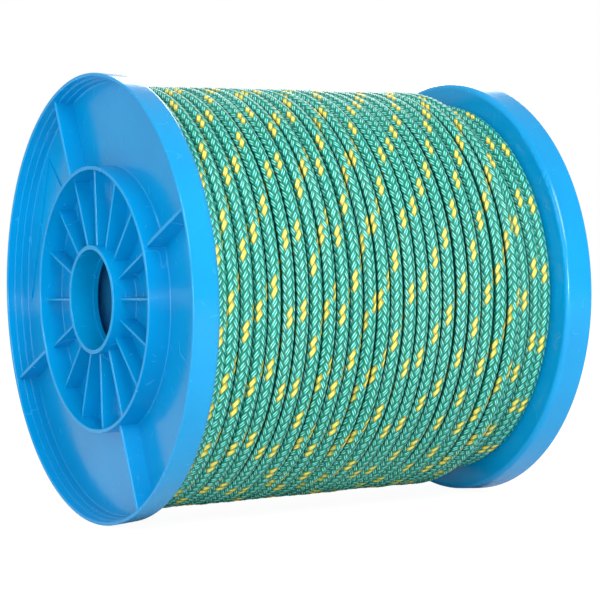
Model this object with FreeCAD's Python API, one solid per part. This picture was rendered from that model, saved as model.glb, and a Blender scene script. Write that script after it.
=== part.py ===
"""Rope reel: two identical moulded flanges snapped onto a barrel tube that carries a full winding of rope.

The reel's axis is Y and the origin is at its centre. The left flange is at -Y and the right one at +Y.
Each flange is drawn as a profile of (radius, depth), where depth is measured from the flange's outer
plane towards the rope.
"""
import FreeCAD, Part
import math
import os

# Overall sizes, mm
FLANGE_R = 125.0          # rim radius at the outer plane
TRAVERSE = 219.0          # length of barrel between the two webs
RIM_WIDTH = 16.5          # outer plane to the face that the rope bears on

# Rim
RIM_LIP = 2.1             # wall at the outer plane
RIM_DRAFT = 1.2           # radius lost across the rim so that it leaves the mould
RIM_STEP = 0.9            # each step that thickens the rim's wall towards the web
RIM_STEP_DEPTHS = (4.5, 8.5)
ROPE_SIDE_ROUND = 3.0     # rounded corner that the rope runs over
LIP_ROUND = 0.6           # rounding on every free edge
ROOT_ROUND = 0.8          # fillet where a wall meets the web

# Web, ring and sleeve
WEB = 3.5                 # wall of the web between ring and rim
FLOOR = 3.0               # wall of the floor inside the ring
FLOOR_SETBACK = 0.5       # how far the floor stands behind the web's rope side
RING_R = 74.0             # outer radius of the inner ring
RING_WALL = 2.2
BORE_R = 27.0             # spindle bore
BORE_RELIEF = 0.8         # the sleeve is this much wider than the bore in front of the floor
SLEEVE_WALL = 2.4

# Ribs
BIG_RIBS = 4
BIG_RIB = 2.2             # thickness
BIG_RIB_RECESS = 2.0      # behind the outer plane
SMALL_RIBS = 16
SMALL_RIB = 1.6
SMALL_RIB_RECESS = 4.5
FIRST_BIG_RIB = -22.5     # degrees about the axis, in line with a small rib
FRAME_RIDGE = 1.2         # width of the ridge that frames the label field on the web
FRAME_HEIGHT = 0.8
FRAME_R = 117.0           # corners of the label field

# Barrel and the snap fit that holds it
BARREL_R = 75.0
BARREL_WALL = 3.0
SPIGOT_FIT = 0.2          # radial clearance, spigot in barrel
SPIGOT_WALL = 2.5
SPIGOT_LENGTH = 14.0
TONGUES = 4
TONGUE = 16.0             # width of a snap tongue
TONGUE_SLOT = 2.0         # slot each side of a tongue
BARB = 1.8                # how far a barb stands out of its tongue
BARB_LENGTH = 4.0
WINDOW_FIT = 0.3          # clearance all round a barb in its window

# Rope
ROPE = 8.0
TURN_GAP = 0.4            # least gap between neighbouring turns
LAYER_STEP = 7.1          # radius gained per layer, the turns lying in the grooves below
LAYERS = 6
SHORT_TURNS = 3           # turns that the outermost layer stops short by

# Derived
HALF_WIDTH = TRAVERSE / 2 + RIM_WIDTH
WEB_DEPTH = RIM_WIDTH - WEB
FLOOR_BACK = RIM_WIDTH + FLOOR_SETBACK
FLOOR_DEPTH = FLOOR_BACK - FLOOR
RIM_INNER_R = FLANGE_R - RIM_LIP
SLEEVE_R = BORE_R + BORE_RELIEF + SLEEVE_WALL
RING_INNER_R = RING_R - RING_WALL
BARREL_BORE_R = BARREL_R - BARREL_WALL
SPIGOT_R = BARREL_BORE_R - SPIGOT_FIT
SPIGOT_END = RIM_WIDTH + SPIGOT_LENGTH
BARB_BACK = SPIGOT_END - BARB_LENGTH
TURNS = int((TRAVERSE - ROPE) / (ROPE + TURN_GAP)) + 1
PITCH = (TRAVERSE - ROPE) / (TURNS - 1)
EMBED = 0.6               # how far a rib's ends run into the walls that it joins
AXIS = FreeCAD.Vector(0, 1, 0)
CENTRE = FreeCAD.Vector(0, 0, 0)


def rounded_outline(corners):
    """Closed wire in the XY plane through (x, y, round) corners, each corner rounded by its own radius."""
    edges = []
    starts = []
    ends = []
    for i, (x, y, radius) in enumerate(corners):
        here = FreeCAD.Vector(x, y, 0)
        before = FreeCAD.Vector(*corners[i - 1][:2], 0) - here
        after = FreeCAD.Vector(*corners[(i + 1) % len(corners)][:2], 0) - here
        before.normalize()
        after.normalize()
        half = before.getAngle(after) / 2
        reach = radius / math.tan(half)
        start = here + before * reach
        end = here + after * reach
        starts.append(start)
        ends.append(end)
        if radius > 0:
            inward = before + after
            inward.normalize()
            middle = here + inward * (radius / math.sin(half) - radius)
            edges.append(Part.Arc(start, middle, end).toShape())
    for i, end in enumerate(ends):
        edges.append(Part.makeLine(end, starts[(i + 1) % len(starts)]))
    return Part.Wire(Part.__sortEdges__(edges))


def turned(corners, angle=360.0):
    """Solid made by turning a profile of (radius, depth, round) corners about the reel's axis."""
    return Part.Face(rounded_outline(corners)).revolve(CENTRE, AXIS, angle)


def flange_profile():
    """Section of the flange, from the sleeve's outer wall outwards and back along the rope side."""
    rim = []
    wall_r = RIM_INNER_R - RIM_STEP * len(RIM_STEP_DEPTHS)
    rim.append((wall_r, WEB_DEPTH, ROOT_ROUND))
    for depth in reversed(RIM_STEP_DEPTHS):
        rim.append((wall_r, depth, 0.2))
        wall_r += RIM_STEP
        rim.append((wall_r, depth, 0.2))
    rim.append((wall_r, 0, LIP_ROUND))
    return [
        (SLEEVE_R, 0, LIP_ROUND),
        (SLEEVE_R, FLOOR_DEPTH, ROOT_ROUND),
        (RING_INNER_R, FLOOR_DEPTH, ROOT_ROUND),
        (RING_INNER_R, 0, LIP_ROUND),
        (RING_R, 0, LIP_ROUND),
        (RING_R, WEB_DEPTH, ROOT_ROUND),
        *rim,
        (FLANGE_R, 0, LIP_ROUND),
        (FLANGE_R - RIM_DRAFT, RIM_WIDTH, ROPE_SIDE_ROUND),
        (SPIGOT_R, RIM_WIDTH, 0),
        (SPIGOT_R, SPIGOT_END, LIP_ROUND),
        (SPIGOT_R - SPIGOT_WALL, SPIGOT_END, LIP_ROUND),
        (SPIGOT_R - SPIGOT_WALL, FLOOR_BACK, ROOT_ROUND),
        (BORE_R, FLOOR_BACK, LIP_ROUND),
        (BORE_R, FLOOR_DEPTH, 0),
        (BORE_R + BORE_RELIEF, FLOOR_DEPTH, 0),
        (BORE_R + BORE_RELIEF, 0, LIP_ROUND),
    ]


def rib(inner_r, outer_r, recess, floor_depth, thickness):
    """One radial rib along +X with rounded free edges, its ends and its foot run into the walls."""
    half = thickness / 2
    edge = 0.4 * thickness
    section = rounded_outline([
        (-half, recess, edge),
        (half, recess, edge),
        (half, floor_depth + EMBED, 0),
        (-half, floor_depth + EMBED, 0),
    ])
    length = outer_r - inner_r + 2 * EMBED
    solid = Part.Face(section).extrude(FreeCAD.Vector(0, 0, length))
    solid.rotate(CENTRE, AXIS, 90)
    solid.translate(FreeCAD.Vector(inner_r - EMBED, 0, 0))
    return solid


def around(solid, count, first=0.0):
    """Copies of a solid, evenly spaced about the reel's axis from the angle first."""
    copies = []
    for i in range(count):
        copy = solid.copy()
        copy.rotate(CENTRE, AXIS, first + i * 360.0 / count)
        copies.append(copy)
    return copies


def label_frame():
    """Low ridge that frames a flat-sided field on the web, midway between two big ribs."""
    step = 180.0 / BIG_RIBS / 2
    reach = FRAME_R - RING_R + EMBED
    side = Part.makeBox(reach, FRAME_HEIGHT + EMBED, FRAME_RIDGE,
                        FreeCAD.Vector(RING_R - EMBED, WEB_DEPTH - FRAME_HEIGHT, -FRAME_RIDGE / 2))
    bars = []
    for sign in (-1, 1):
        bar = side.copy()
        bar.rotate(CENTRE, AXIS, sign * step)
        bars.append(bar)
    chord_half = FRAME_R * math.sin(math.radians(step)) + FRAME_RIDGE / 2
    chord_r = FRAME_R * math.cos(math.radians(step))
    bars.append(Part.makeBox(FRAME_RIDGE, FRAME_HEIGHT + EMBED, 2 * chord_half,
                             FreeCAD.Vector(chord_r - FRAME_RIDGE, WEB_DEPTH - FRAME_HEIGHT, -chord_half)))
    return bars


def sector(corners, width):
    """A turned profile that spans the given width at the spigot, centred on +X."""
    angle = math.degrees(width / SPIGOT_R)
    solid = turned(corners, angle)
    solid.rotate(CENTRE, AXIS, -angle / 2)
    return solid


def barb():
    """Hook on a snap tongue: a ramp that leads in and a square back that catches in the window."""
    return sector([
        (SPIGOT_R - EMBED, BARB_BACK, 0),
        (SPIGOT_R + BARB, BARB_BACK, 0),
        (SPIGOT_R - EMBED, SPIGOT_END - LIP_ROUND, 0),
    ], TONGUE)


def tongue_slots():
    """The pair of slots that free one tongue from the rest of the spigot."""
    slots = []
    for sign in (-1, 1):
        offset = sign * (TONGUE + TONGUE_SLOT) / 2 - TONGUE_SLOT / 2
        corner = FreeCAD.Vector(SPIGOT_R - 2 * SPIGOT_WALL, FLOOR_BACK + ROOT_ROUND, offset)
        slots.append(Part.makeBox(3 * SPIGOT_WALL, SPIGOT_LENGTH, TONGUE_SLOT, corner))
    return slots


def flange():
    """One flange moulding with its outer plane at Y = 0 and its spigot towards +Y."""
    body = turned(flange_profile())
    small = rib(SLEEVE_R, RING_INNER_R, SMALL_RIB_RECESS, FLOOR_DEPTH, SMALL_RIB)
    big = rib(RING_R, RIM_INNER_R, BIG_RIB_RECESS, WEB_DEPTH, BIG_RIB)
    added = around(small, SMALL_RIBS, FIRST_BIG_RIB) + around(big, BIG_RIBS, FIRST_BIG_RIB)
    for bar in label_frame():
        bar.rotate(CENTRE, AXIS, FIRST_BIG_RIB - 1.5 * 360.0 / BIG_RIBS)
        added.append(bar)
    added += around(barb(), TONGUES)
    body = body.fuse(added).removeSplitter()
    cuts = []
    for slot in tongue_slots():
        cuts += around(slot, TONGUES)
    return body.cut(cuts)


def barrel():
    """Extruded tube that butts on both webs, with a window for every barb."""
    corner = FreeCAD.Vector(0, -TRAVERSE / 2, 0)
    tube = Part.makeCylinder(BARREL_R, TRAVERSE, corner, AXIS)
    tube = tube.cut(Part.makeCylinder(BARREL_BORE_R, TRAVERSE, corner, AXIS))
    window = sector([
        (BARREL_BORE_R - WINDOW_FIT, BARB_BACK - WINDOW_FIT, 0),
        (BARREL_R + WINDOW_FIT, BARB_BACK - WINDOW_FIT, 0),
        (BARREL_R + WINDOW_FIT, SPIGOT_END, 0),
        (BARREL_BORE_R - WINDOW_FIT, SPIGOT_END, 0),
    ], TONGUE + 2 * WINDOW_FIT)
    left = around(window, TONGUES)
    for cut in left:
        cut.translate(FreeCAD.Vector(0, -HALF_WIDTH, 0))
    right = []
    for cut in left:
        twin = cut.copy()
        twin.rotate(CENTRE, FreeCAD.Vector(0, 0, 1), 180)
        right.append(twin)
    return tube.cut(left + right)


def rope_winding():
    """Outer shape of the whole winding: full layers, and an outermost layer that stops short."""
    full_r = BARREL_R + ROPE + LAYER_STEP * (LAYERS - 2)
    outer_r = full_r + LAYER_STEP
    start = -TRAVERSE / 2
    step = start + PITCH * (TURNS - SHORT_TURNS + 0.5)
    return turned([
        (BARREL_R, start, 0),
        (outer_r, start, 0),
        (outer_r, step, 0),
        (full_r, step, 0),
        (full_r, -start, 0),
        (BARREL_R, -start, 0),
    ])


def main():
    left = flange()
    left.translate(FreeCAD.Vector(0, -HALF_WIDTH, 0))
    right = left.copy()
    right.rotate(CENTRE, FreeCAD.Vector(0, 0, 1), 180)
    nodes = {
        "left_flange": left,
        "right_flange": right,
        "barrel": barrel(),
        "rope_winding": rope_winding(),
    }
    os.makedirs("parts", exist_ok=True)
    for name, shape in nodes.items():
        print(name, "valid", shape.isValid(), "solids", len(shape.Solids), "volume", round(shape.Volume))
        shape.exportStep(f"parts/{name}.step")


main()
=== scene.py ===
"""A moulded plastic reel, filled with braided polypropylene rope. The reel's axis is Y."""
import math
import random

import bmesh
import bpy
import numpy as np
from mathutils import Matrix, Vector


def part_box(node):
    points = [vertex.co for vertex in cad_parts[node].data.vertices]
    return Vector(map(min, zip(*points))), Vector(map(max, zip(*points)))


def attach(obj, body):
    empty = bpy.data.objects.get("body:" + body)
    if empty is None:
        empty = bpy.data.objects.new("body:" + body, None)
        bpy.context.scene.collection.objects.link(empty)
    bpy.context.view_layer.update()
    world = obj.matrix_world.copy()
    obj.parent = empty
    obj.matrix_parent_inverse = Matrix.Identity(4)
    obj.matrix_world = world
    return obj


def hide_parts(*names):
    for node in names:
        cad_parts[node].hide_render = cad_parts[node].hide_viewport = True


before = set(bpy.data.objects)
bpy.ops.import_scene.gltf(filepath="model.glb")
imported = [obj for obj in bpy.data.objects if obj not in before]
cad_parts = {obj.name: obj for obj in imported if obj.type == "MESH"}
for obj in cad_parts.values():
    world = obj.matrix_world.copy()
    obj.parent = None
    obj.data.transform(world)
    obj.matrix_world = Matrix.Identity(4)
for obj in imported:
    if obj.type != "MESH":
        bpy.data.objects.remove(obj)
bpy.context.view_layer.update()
scene = bpy.context.scene

# ---------------------------------------------------------------------------------------------
# The camera stands off the left flange's quarter, level with the axis. It is long, so that the
# two rims look nearly the same size.
# ---------------------------------------------------------------------------------------------
VIEW_AZIMUTH = math.radians(59.8)
VIEW_ELEVATION = math.radians(0.9)
VIEW_ROLL = math.radians(-1.7)
VIEW_DISTANCE = 1.1266
VIEW_AIM = Vector((0.0036, 0.0061, -0.0046))

camera_data = bpy.data.cameras.new("studio_camera")
camera_data.lens = 115.2
camera_data.sensor_width = 36.0
camera = bpy.data.objects.new("studio_camera", camera_data)
scene.collection.objects.link(camera)
back = Vector((
    math.sin(VIEW_AZIMUTH) * math.cos(VIEW_ELEVATION),
    -math.cos(VIEW_AZIMUTH) * math.cos(VIEW_ELEVATION),
    math.sin(VIEW_ELEVATION),
))
camera.location = VIEW_AIM + back * VIEW_DISTANCE
camera.rotation_mode = "QUATERNION"
roll = Matrix.Rotation(VIEW_ROLL, 3, "Z").to_quaternion()
camera.rotation_quaternion = back.to_track_quat("Z", "Y") @ roll
scene.camera = camera

# ---------------------------------------------------------------------------------------------
# Flanges: two injection mouldings in blue polypropylene. The mould is polished, so the skin is
# glossy, and the ejected part keeps faint flow marks and picks up fine handling scratches.
# ---------------------------------------------------------------------------------------------
FLANGE_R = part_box("left_flange")[1].x


def colour(code, alpha=1.0):
    """Linear colour from an sRGB hex code."""
    channels = []
    for start in (1, 3, 5):
        value = int(code[start:start + 2], 16) / 255
        channels.append(value / 12.92 if value <= 0.04045 else ((value + 0.055) / 1.055) ** 2.4)
    return (*channels, alpha)


def node(tree, kind, inputs=None, **settings):
    """Adds a shader node. An input is a value, an output socket, or a node whose first output feeds it."""
    made = tree.nodes.new(kind)
    for name, value in settings.items():
        setattr(made, name, value)
    for key, value in (inputs or {}).items():
        if isinstance(value, bpy.types.Node):
            value = value.outputs[0]
        if isinstance(value, bpy.types.NodeSocket):
            tree.links.new(value, made.inputs[key])
        else:
            made.inputs[key].default_value = value
    return made


def new_material(name):
    """Empty node material with its output, ready for a shader."""
    material = bpy.data.materials.new(name)
    material.use_nodes = True
    material.node_tree.nodes.clear()
    return material, material.node_tree, node(material.node_tree, "ShaderNodeOutputMaterial")


def moulded_polypropylene():
    """Injection-moulded polypropylene off a polished mould: deep even colour and a soft wet gloss."""
    material, tree, out = new_material("glossy_blue_polypropylene")
    place = node(tree, "ShaderNodeTexCoord").outputs["Object"]
    # the pigment is a little thinner here and there, in clouds some 70 mm across
    cloud = node(tree, "ShaderNodeTexNoise", {"Vector": place, "Scale": 14.0, "Detail": 3.0})
    thin = node(tree, "ShaderNodeMapRange", {"Value": cloud, "From Min": 0.35, "From Max": 0.7})
    tint = node(tree, "ShaderNodeMix", {0: thin, 6: colour("#0089C4"), 7: colour("#0093CF")},
                data_type="RGBA")
    # sink and flow ripples, some 12 mm across, and the mould's 0.5 mm grain
    ripple = node(tree, "ShaderNodeTexNoise", {"Vector": place, "Scale": 80.0, "Detail": 2.0})
    grain = node(tree, "ShaderNodeTexNoise", {"Vector": place, "Scale": 2000.0, "Detail": 2.0})
    # handling scuffs, about 1.4 mm wide and 14 mm long, which are duller and a little paler than the skin
    warped = node(tree, "ShaderNodeTexNoise", {"Vector": place, "Scale": 25.0, "Detail": 2.0})
    bent = node(tree, "ShaderNodeVectorMath", {0: warped.outputs[1], 1: (0.06, 0.06, 0.06), 2: place},
                operation="MULTIPLY_ADD")
    streaks = node(tree, "ShaderNodeMapping", {"Vector": bent, "Rotation": (0.7, 0.4, 0.9),
                                               "Scale": (700.0, 70.0, 70.0)})
    scratch = node(tree, "ShaderNodeTexNoise", {"Vector": streaks, "Scale": 1.0, "Detail": 1.0})
    scratched = node(tree, "ShaderNodeMapRange", {"Value": scratch, "From Min": 0.7, "From Max": 0.76})
    marked = node(tree, "ShaderNodeMath", {0: scratched, 1: 0.08}, operation="MULTIPLY")
    skin = node(tree, "ShaderNodeMix", {0: marked, 6: tint.outputs[2], 7: colour("#5CC4F2")},
                data_type="RGBA")
    gloss = node(tree, "ShaderNodeMapRange", {"Value": cloud, "To Min": 0.15, "To Max": 0.24})
    rough = node(tree, "ShaderNodeMath", {0: scratched, 1: 0.15, 2: gloss}, operation="MULTIPLY_ADD")
    waves = node(tree, "ShaderNodeBump", {"Height": ripple, "Strength": 0.3, "Distance": 0.0006})
    bump = node(tree, "ShaderNodeBump", {"Height": grain, "Strength": 0.12, "Distance": 0.00002,
                                         "Normal": waves})
    shader = node(tree, "ShaderNodeBsdfPrincipled", {
        "Base Color": skin.outputs[2],
        "Roughness": rough,
        "IOR": 1.49,
        "Specular IOR Level": 0.38,
        "Subsurface Weight": 0.05,
        "Subsurface Radius": (0.001, 0.002, 0.003),
        "Subsurface Scale": 0.5,
        "Normal": bump,
    })
    tree.links.new(shader.outputs[0], out.inputs["Surface"])
    return material


flange_plastic = moulded_polypropylene()
for side in ("left_flange", "right_flange"):
    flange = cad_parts[side]
    flange.data.materials.clear()
    flange.data.materials.append(flange_plastic)

# ---------------------------------------------------------------------------------------------
# Barrel: an extruded polypropylene tube between the webs, under the rope. The die leaves it
# duller than the mouldings, with fine lines along its length.
# ---------------------------------------------------------------------------------------------
BARREL_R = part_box("barrel")[1].x
BARREL_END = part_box("barrel")[1].y


def extruded_polypropylene():
    """Extruded polypropylene: satin, with die lines along Y about 0.8 mm apart."""
    material, tree, out = new_material("satin_blue_extruded_polypropylene")
    place = node(tree, "ShaderNodeTexCoord").outputs["Object"]
    drawn = node(tree, "ShaderNodeMapping", {"Vector": place, "Scale": (1200.0, 12.0, 1200.0)})
    lines = node(tree, "ShaderNodeTexNoise", {"Vector": drawn, "Scale": 1.0, "Detail": 2.0})
    bump = node(tree, "ShaderNodeBump", {"Height": lines, "Strength": 0.3, "Distance": 0.00005})
    tint = node(tree, "ShaderNodeMix", {0: lines, 6: colour("#1C9ADC"), 7: colour("#2AA6E6")},
                data_type="RGBA")
    shader = node(tree, "ShaderNodeBsdfPrincipled", {
        "Base Color": tint.outputs[2],
        "Roughness": 0.42,
        "IOR": 1.49,
        "Normal": bump,
    })
    tree.links.new(shader.outputs[0], out.inputs["Surface"])
    return material


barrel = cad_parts["barrel"]
barrel.data.materials.clear()
barrel.data.materials.append(extruded_polypropylene())

# ---------------------------------------------------------------------------------------------
# Rope: one length of 8 mm braided polypropylene, wound in six layers from the right flange to
# the left and back. The outermost layer stops three turns short, and its tail lies across the
# lower turns to the right flange, on the far side of the reel.
# ---------------------------------------------------------------------------------------------
ROPE = 0.008
TURN_GAP = 0.0004                # gap between turns from which a full layer's turns are counted
LAYERS = 6
TURNS = int((2 * BARREL_END - ROPE) / (ROPE + TURN_GAP)) + 1
SHORT_TURNS = 3                  # turns that the outermost layer stops short by
TAIL = 0.3                       # turns over which the tail leaves the layer
LAYER_STEP = (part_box("rope_winding")[1].x - BARREL_R - ROPE) / (LAYERS - 1)
PITCH = (2 * BARREL_END - ROPE) / (TURNS - 1)
SPREAD = 0.08                    # a layer's last turns lie this share of a pitch looser than its first
ROUTE_POINTS = 24                # control points per turn
FIRST_ANGLE = math.radians(230)  # where each layer starts, out of sight at the back
CLIMB = 0.22                     # turns over which the rope climbs to the next layer
LAST_TURN = TURNS * LAYERS - SHORT_TURNS
HIGH_SLACK = 0.0003              # how far a turn lies high or low of its layer
SIDE_SLACK = 0.0002              # how far a turn lies to one side


def smooth(value):
    """Eases from 0 to 1 as value goes from 0 to 1."""
    value = min(1.0, max(0.0, value))
    return value * value * (3 - 2 * value)


rng = random.Random(7)
slack = [(rng.uniform(-1, 1), rng.uniform(-1, 1)) for _ in range(LAST_TURN + 2)]


def winding_point(turn):
    """Control point of the rope's centre line, the given number of turns after its start on the barrel."""
    layer = min(int(turn / TURNS), LAYERS - 1)
    within = turn - layer * TURNS
    laid = min(TURNS - 1, max(0.0, within - 0.5))
    across = PITCH * laid * (1 + SPREAD / 2 * (laid / (TURNS - 1) - 1))
    radius = BARREL_R + ROPE / 2 + LAYER_STEP * layer
    if layer < LAYERS - 1:
        radius += LAYER_STEP * smooth((within - TURNS + CLIMB) / CLIMB)
    tail = smooth((turn - LAST_TURN + TAIL) / TAIL)
    across += (PITCH * (TURNS - 1) - across) * tail
    y = BARREL_END - ROPE / 2 - across
    if layer % 2:
        y = -y
    # each turn lies a little high or low and a little to one side
    whole = int(turn)
    ease = smooth(turn - whole)
    high = slack[whole][0] * (1 - ease) + slack[whole + 1][0] * ease
    aside = slack[whole][1] * (1 - ease) + slack[whole + 1][1] * ease
    edge = min(1.0, (BARREL_END - ROPE / 2 - abs(y)) / ROPE)
    radius += HIGH_SLACK * high
    y += SIDE_SLACK * aside * edge
    angle = FIRST_ANGLE + 2 * math.pi * turn
    outside = radius / math.cos(math.pi / ROUTE_POINTS)
    return outside * math.cos(angle), y, outside * math.sin(angle)


route_data = bpy.data.curves.new("rope_route", "CURVE")
route_data.dimensions = "3D"
route_spline = route_data.splines.new("NURBS")
route_count = LAST_TURN * ROUTE_POINTS + 1
route_spline.points.add(route_count - 1)
for i in range(route_count):
    route_spline.points[i].co = (*winding_point(i / ROUTE_POINTS), 1.0)
route_spline.order_u = 3
route_spline.use_endpoint_u = True
route_spline.resolution_u = 6
route = bpy.data.objects.new("rope_route", route_data)
route_mesh = bpy.data.meshes.new_from_object(route)
path = np.zeros(len(route_mesh.vertices) * 3)
route_mesh.vertices.foreach_get("co", path)
path = path.reshape(-1, 3)
bpy.data.meshes.remove(route_mesh)
bpy.data.objects.remove(route)
bpy.data.curves.remove(route_data)

run = np.concatenate([[0.0], np.cumsum(np.linalg.norm(np.diff(path, axis=0), axis=1))])
heading = np.unwrap(np.arctan2(path[:, 2], path[:, 0]))
turn_at = (heading - heading[0]) / (2 * math.pi)
print("rope length, m:", round(float(run[-1]), 2))

# The braid is sixteen strands, eight each way, and each passes over two and under two. A strand
# goes once round the rope in one lead. The lead and the roll drift as the rope is laid.
STRANDS = 8
LEAD = 5.1 * ROPE
GAP_SHADE_FROM_TO = (58.0, 82.0)   # degrees off the crown between which painted shade darkens the rope's sides, in place of the shade in the gaps between turns
DRAWN_R = ROPE / 2 - 0.0002      # the winding tension draws the rope down a little
RELIEF = 0.0005                  # a strand's crown above the dips between strands
LEAD_DRIFT = 0.4                 # leads, from turn to turn
ROLL_DRIFT = 0.1                 # turns of the rope about its own axis, from turn to turn
lead_drift = [rng.uniform(-LEAD_DRIFT, LEAD_DRIFT) for _ in range(LAST_TURN + 2)]
roll_drift = [rng.uniform(-ROLL_DRIFT, ROLL_DRIFT) for _ in range(LAST_TURN + 2)]


def braid_relief(a, b):
    """Relief of the braid, 0 to 1, where a counts the strands of one hand and b those of the other."""
    phase = np.mod(np.floor(a) - np.floor(b), 4)
    on_top = phase < 2
    a_part = a - np.floor(a)
    b_part = b - np.floor(b)
    across = np.where(on_top, a_part, b_part)
    along = np.where(on_top, 1 + b_part - phase, a_part + phase - 2)
    side = np.sqrt(1 - (2 * across - 1) ** 2)
    crown = 1 - (along - 1) ** 4
    return side * (0.35 + 0.65 * crown)


def rope_tube(name, first, last, spacing, angles, braided):
    """Closed tube that follows the route between two turn counts, with the braid in its surface."""
    start = np.interp(first, turn_at, run)
    end = np.interp(last, turn_at, run)
    rings = int(round((end - start) / spacing)) + 1
    along = np.linspace(start, end, rings)
    turn = np.interp(along, run, turn_at)
    centre = np.stack([np.interp(along, run, path[:, k]) for k in range(3)], axis=1)
    tangent = np.gradient(centre, axis=0)
    tangent /= np.linalg.norm(tangent, axis=1)[:, None]
    outward = centre * (1.0, 0.0, 1.0)
    outward -= tangent * (outward * tangent).sum(axis=1)[:, None]
    outward /= np.linalg.norm(outward, axis=1)[:, None]
    sideways = np.cross(tangent, outward)
    # one more column than there are sides, so that the seam's two edges have their own strand counts
    sides = len(angles)
    round_by = np.array(angles + [angles[0] + 2 * math.pi]) / (2 * math.pi)
    counts = np.arange(LAST_TURN + 2)
    u = round_by[None, :] + np.interp(turn, counts, roll_drift)[:, None]
    v = along / LEAD - math.floor(start / LEAD) + np.interp(turn, counts, lead_drift)
    a = STRANDS * (v[:, None] + u)
    b = STRANDS * (v[:, None] - u)
    radius = np.full((rings, sides), DRAWN_R - 0.2 * RELIEF)
    if braided:
        radius = DRAWN_R + RELIEF * (braid_relief(a, b)[:, :sides] - 0.9)
    cos = np.cos(angles)[None, :, None]
    sin = np.sin(angles)[None, :, None]
    ways = outward[:, None, :] * cos + sideways[:, None, :] * sin
    vertices = (centre[:, None, :] + ways * radius[..., None]).reshape(-1, 3)
    ring = np.arange(rings - 1)[:, None] * sides
    here = np.arange(sides)[None, :]
    after = (here + 1) % sides
    quads = np.stack([ring + here, ring + sides + here, ring + sides + after, ring + after], axis=-1)
    faces = quads.reshape(-1, 4).tolist()
    faces.append(list(range(sides)))
    faces.append(list(range((rings - 1) * sides, rings * sides))[::-1])
    mesh = bpy.data.meshes.new(name)
    mesh.from_pydata(vertices.tolist(), [], faces)
    count = np.stack([a, b], axis=-1)
    corners = np.stack([count[:-1, :-1], count[1:, :-1], count[1:, 1:], count[:-1, 1:]], axis=2)
    caps = np.concatenate([count[0, :-1], count[-1, :-1][::-1]])
    strands = mesh.uv_layers.new(name="strands")
    placed = np.concatenate([corners.reshape(-1), caps.reshape(-1)])
    strands.data.foreach_set("uv", placed.astype(np.float32))
    # painted shade: each point gets a weight, 0 to 1, that darkens its colour towards the sides facing the
    # neighbouring turns
    off_crown = np.abs((np.degrees(angles) + 180) % 360 - 180)
    gap_shade = mesh.attributes.new("gap_shade", "FLOAT", "POINT")
    gap_shade.data.foreach_set("value", np.tile(np.interp(off_crown, GAP_SHADE_FROM_TO, (0.0, 1.0)), rings))
    mesh.polygons.foreach_set("use_smooth", [True] * len(faces))
    mesh.update()
    piece = bpy.data.objects.new(name, mesh)
    scene.collection.objects.link(piece)
    piece.data.materials.append(rope_material)
    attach(piece, "root")
    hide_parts("rope_winding")
    return piece


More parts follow.
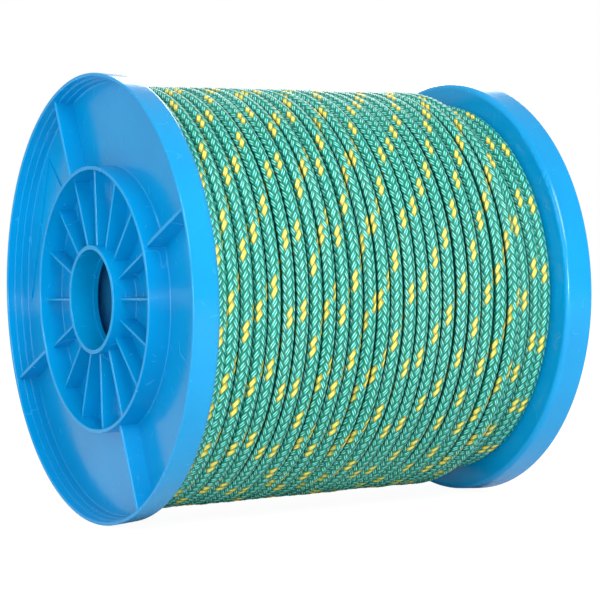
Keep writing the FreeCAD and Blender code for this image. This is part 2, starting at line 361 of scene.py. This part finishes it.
def braided_polypropylene():
    """Braided multifilament polypropylene: satin green strands, two of them yellow, with a painted mint
    highlight on the filaments and painted shade between the strands.
    """
    material, tree, out = new_material("braided_green_polypropylene")
    counts = node(tree, "ShaderNodeUVMap", uv_map="strands")
    whole = node(tree, "ShaderNodeSeparateXYZ", {0: node(tree, "ShaderNodeVectorMath", {0: counts},
                                                         operation="FLOOR")})
    part = node(tree, "ShaderNodeSeparateXYZ", {0: node(tree, "ShaderNodeVectorMath", {0: counts},
                                                        operation="FRACTION")})
    # which hand is on top: 0 and 1 are the first hand's floats, 2 and 3 the other's
    step = node(tree, "ShaderNodeMath", {0: whole.outputs[0], 1: whole.outputs[1]}, operation="SUBTRACT")
    phase = node(tree, "ShaderNodeMath", {0: step, 1: 4.0}, operation="FLOORED_MODULO")
    other = node(tree, "ShaderNodeMath", {0: phase, 1: 1.5}, operation="GREATER_THAN")
    # how far across its strand a point is, 0 to 1, and how far along its float, 0 to 2
    across = node(tree, "ShaderNodeMix", {0: other, 2: part.outputs[0], 3: part.outputs[1]})
    first_along = node(tree, "ShaderNodeMath", {0: part.outputs[1], 1: phase}, operation="SUBTRACT")
    other_along = node(tree, "ShaderNodeMath", {0: part.outputs[0], 1: phase}, operation="ADD")
    first_float = node(tree, "ShaderNodeMath", {0: first_along, 1: 1.0}, operation="ADD")
    other_float = node(tree, "ShaderNodeMath", {0: other_along, 1: 2.0}, operation="SUBTRACT")
    along = node(tree, "ShaderNodeMix", {0: other, 2: first_float, 3: other_float})
    strand = node(tree, "ShaderNodeMix", {0: other, 2: whole.outputs[0], 3: whole.outputs[1]})
    # a float is round across and dives at its ends, and is a pair of yarns side by side
    fold_side = node(tree, "ShaderNodeMath", {0: across, 1: 0.5}, operation="PINGPONG")
    fold_pair = node(tree, "ShaderNodeMath", {0: across, 1: 0.25}, operation="PINGPONG")
    fold_ends = node(tree, "ShaderNodeMath", {0: along, 1: 1.0}, operation="PINGPONG")
    side = node(tree, "ShaderNodeMapRange", {"Value": fold_side, "From Max": 0.3},
                interpolation_type="SMOOTHSTEP")
    pair = node(tree, "ShaderNodeMapRange", {"Value": fold_pair, "From Max": 0.2},
                interpolation_type="SMOOTHSTEP")
    ends = node(tree, "ShaderNodeMapRange", {"Value": fold_ends, "From Max": 0.7},
                interpolation_type="SMOOTHSTEP")
    body = node(tree, "ShaderNodeMath", {0: side, 1: ends}, operation="MULTIPLY")
    yarns = node(tree, "ShaderNodeMath", {0: pair, 1: ends}, operation="MULTIPLY")
    # filaments run along each yarn, drawn several times too coarse so that they show
    wide = node(tree, "ShaderNodeMath", {0: across, 1: 12.0}, operation="MULTIPLY")
    thread_place = node(tree, "ShaderNodeCombineXYZ", {0: wide, 1: along, 2: strand})
    filament = node(tree, "ShaderNodeTexNoise", {"Vector": thread_place, "Scale": 1.0, "Detail": 2.0})
    height = node(tree, "ShaderNodeMath", {0: yarns, 1: 0.7, 2: body}, operation="MULTIPLY_ADD")
    relief = node(tree, "ShaderNodeMath", {0: filament, 1: 0.25, 2: height}, operation="MULTIPLY_ADD")
    # colour: painted shade between the strands, full on the yarns, and a painted highlight, paler, where
    # the filaments catch the light
    half_body = node(tree, "ShaderNodeMath", {0: body, 1: 0.4}, operation="MULTIPLY")
    shade = node(tree, "ShaderNodeMath", {0: yarns, 1: 0.6, 2: half_body}, operation="MULTIPLY_ADD")
    # painted highlight: the filaments on the yarns are drawn paler, in place of glints
    lit = node(tree, "ShaderNodeMath", {0: filament, 1: yarns}, operation="MULTIPLY")
    painted_gleam = node(tree, "ShaderNodeMapRange", {"Value": lit, "From Min": 0.34, "From Max": 0.62})
    # painted shade: the green darkens from the yarns' crowns into the dips between strands
    shaded_green = node(tree, "ShaderNodeMix", {0: shade, 6: colour("#066450"), 7: colour("#2AC4B0")},
                      data_type="RGBA")
    green = node(tree, "ShaderNodeMix", {0: painted_gleam, 6: shaded_green.outputs[2], 7: colour("#B0F4F0")},
                 data_type="RGBA")
    # painted shade: the yellow darkens towards its floats' edges and ends
    shaded_yellow = node(tree, "ShaderNodeMix", {0: body, 6: colour("#A09026"), 7: colour("#E4DE5C")},
                       data_type="RGBA")
    yellow = node(tree, "ShaderNodeMix", {0: painted_gleam, 6: shaded_yellow.outputs[2], 7: colour("#F2EE8C")},
                  data_type="RGBA")
    place_in_set = node(tree, "ShaderNodeMath", {0: strand, 1: float(STRANDS)}, operation="FLOORED_MODULO")
    two_strands = node(tree, "ShaderNodeMath", {0: place_in_set, 1: 1.5}, operation="LESS_THAN")
    fleck = node(tree, "ShaderNodeMath", {0: two_strands, 1: other}, operation="MULTIPLY")
    tint = node(tree, "ShaderNodeMix", {0: fleck, 6: green.outputs[2], 7: yellow.outputs[2]},
                data_type="RGBA")
    # painted shade: the sides that face the neighbouring turns are painted darker, in place of the shade
    # in the gaps between turns, so that the gaps read
    gap_shade = node(tree, "ShaderNodeAttribute", attribute_name="gap_shade")
    rope_tint = node(tree, "ShaderNodeMix", {0: gap_shade.outputs["Fac"], 6: tint.outputs[2],
                                             7: colour("#03382C")}, data_type="RGBA")
    bump = node(tree, "ShaderNodeBump", {"Height": relief, "Strength": 0.8, "Distance": 0.0004})
    shader = node(tree, "ShaderNodeBsdfPrincipled", {
        "Base Color": rope_tint.outputs[2],
        "Roughness": 0.36,
        "IOR": 1.49,
        "Normal": bump,
    })
    tree.links.new(shader.outputs[0], out.inputs["Surface"])
    return material


rope_material = braided_polypropylene()

# round the rope, close together on the side that faces out and far apart against the layer below
shown_angles = [math.radians(degrees) for degrees in np.linspace(-126, 126, 25)]
shown_angles += [math.radians(degrees) for degrees in (150, 180, 210)]
plain_angles = [math.radians(degrees) for degrees in range(0, 360, 36)]
FINE = LEAD / 40
COARSE = 2 * math.pi * BARREL_R / 64

# the lower turns that show beside the right flange, then the outermost layer, in equal lengths
first_low = TURNS * (LAYERS - 2) - CLIMB
last_low = first_low + SHORT_TURNS + 1.4    # on past the outermost layer's last turn
first_outer = TURNS * (LAYERS - 1) - CLIMB
rope_tube("rope_low_turns", first_low, last_low, FINE, shown_angles, True)
OUTER_PIECES = 6
outer_part = (LAST_TURN - first_outer) / OUTER_PIECES
for i in range(OUTER_PIECES):
    first = first_outer + i * outer_part
    rope_tube(f"rope_outer_{i + 1}", first, first + outer_part, FINE, shown_angles, True)
rope_tube("rope_inner_1", 0, first_low / 2, COARSE, plain_angles, False)
rope_tube("rope_inner_2", first_low / 2, first_low, COARSE, plain_angles, False)
rope_tube("rope_inner_3", last_low, first_outer, COARSE, plain_angles, False)

# ---------------------------------------------------------------------------------------------
# Sealed end: the rope's free end is cut with a hot knife, which melts the strands into a smooth
# dark bead that keeps the braid from opening.
# ---------------------------------------------------------------------------------------------
BEAD_LENGTH = 0.0035
BEAD_R = ROPE / 2 + 0.0001
BEAD_SIDES = 32
BEAD_STEPS = 6                   # points on the bead's rounded edge
BEAD_FULLNESS = 0.6              # under 1, the bead is blunter than a half ball


def melted_polypropylene():
    """Polypropylene melted by a hot knife: dark, glassy and a little lumpy."""
    material, tree, out = new_material("melted_green_polypropylene")
    place = node(tree, "ShaderNodeTexCoord").outputs["Object"]
    lumps = node(tree, "ShaderNodeTexNoise", {"Vector": place, "Scale": 700.0, "Detail": 2.0})
    tint = node(tree, "ShaderNodeMix", {0: lumps, 6: colour("#0B4A38"), 7: colour("#3B8A4C")},
                data_type="RGBA")
    bump = node(tree, "ShaderNodeBump", {"Height": lumps, "Strength": 0.6, "Distance": 0.0004})
    shader = node(tree, "ShaderNodeBsdfPrincipled", {
        "Base Color": tint.outputs[2],
        "Roughness": 0.22,
        "IOR": 1.49,
        "Normal": bump,
    })
    tree.links.new(shader.outputs[0], out.inputs["Surface"])
    return material


end_way = Vector(path[-1] - path[-2]).normalized()
bead = bmesh.new()
profile = [bead.verts.new((0, 0, 0)), bead.verts.new((BEAD_R, 0, 0))]
for step in range(1, BEAD_STEPS + 1):
    bend = math.radians(90 / BEAD_STEPS * step)
    wide = BEAD_R * math.cos(bend) ** BEAD_FULLNESS
    profile.append(bead.verts.new((wide, 0, BEAD_LENGTH * math.sin(bend))))
edges = [bead.edges.new(pair) for pair in zip(profile, profile[1:])]
bmesh.ops.spin(bead, geom=profile + edges, cent=(0, 0, 0), axis=(0, 0, 1), angle=2 * math.pi,
               steps=BEAD_SIDES, use_merge=True)
bmesh.ops.remove_doubles(bead, verts=bead.verts, dist=0.00002)
bmesh.ops.recalc_face_normals(bead, faces=bead.faces)
turn_to_end = end_way.to_track_quat("Z", "Y").to_matrix().to_4x4()
bmesh.ops.transform(bead, matrix=Matrix.Translation(Vector(path[-1])) @ turn_to_end, verts=bead.verts)
bead_mesh = bpy.data.meshes.new("rope_sealed_end")
bead.to_mesh(bead_mesh)
bead.free()
bead_mesh.polygons.foreach_set("use_smooth", [True] * len(bead_mesh.polygons))
bead_mesh.materials.append(melted_polypropylene())
sealed_end = bpy.data.objects.new("rope_sealed_end", bead_mesh)
scene.collection.objects.link(sealed_end)
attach(sealed_end, "root")
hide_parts("rope_winding")

# ---------------------------------------------------------------------------------------------
# Studio: a pale floor that runs into a white surround, and four soft lamps.
# ---------------------------------------------------------------------------------------------
FLOOR_SIZE = 12.0
bpy.ops.mesh.primitive_plane_add(size=FLOOR_SIZE, location=(0, 0, -FLANGE_R))
floor = bpy.context.active_object
floor.name = "studio_floor"
floor_material, floor_tree, floor_out = new_material("pale_studio_floor")
floor_diffuse = node(floor_tree, "ShaderNodeBsdfDiffuse", {"Color": (0.9, 0.9, 0.9, 1)})
floor_white = node(floor_tree, "ShaderNodeEmission", {"Color": (1, 1, 1, 1), "Strength": 1.12})
seen = node(floor_tree, "ShaderNodeLightPath")
share = node(floor_tree, "ShaderNodeMath", {0: seen.outputs["Is Camera Ray"], 1: 0.85},
             operation="MULTIPLY")
floor_mix = node(floor_tree, "ShaderNodeMixShader", {0: share, 1: floor_diffuse, 2: floor_white})
floor_tree.links.new(floor_mix.outputs[0], floor_out.inputs["Surface"])
floor.data.materials.append(floor_material)

world = bpy.data.worlds.new("studio_surround")
scene.world = world
world.use_nodes = True
world_tree = world.node_tree
world_tree.nodes.clear()
light_path = node(world_tree, "ShaderNodeLightPath")
shown = node(world_tree, "ShaderNodeMath", {0: light_path.outputs["Is Camera Ray"], 1: 0.42, 2: 0.58},
             operation="MULTIPLY_ADD")
surround = node(world_tree, "ShaderNodeBackground", {"Color": (1, 1, 1, 1), "Strength": shown})
world_out = node(world_tree, "ShaderNodeOutputWorld")
world_tree.links.new(surround.outputs[0], world_out.inputs["Surface"])


def soft_lamp(name, place, size, watts):
    """Square area lamp that faces the reel's centre."""
    data = bpy.data.lights.new(name, "AREA")
    data.shape = "SQUARE"
    data.size = size
    data.energy = watts
    lamp = bpy.data.objects.new(name, data)
    scene.collection.objects.link(lamp)
    lamp.location = place
    lamp.rotation_mode = "QUATERNION"
    lamp.rotation_quaternion = Vector(place).to_track_quat("Z", "Y")


soft_lamp("key_lamp", (1.3, -0.3, 0.9), 0.7, 19)
soft_lamp("side_lamp", (0.2, -1.5, 0.5), 0.8, 4)
soft_lamp("front_lamp", (1.45, -0.95, 0.02), 0.28, 11)
soft_lamp("back_lamp", (-1.3, 1.1, 0.7), 0.9, 14)

scene.view_settings.view_transform = "Standard"
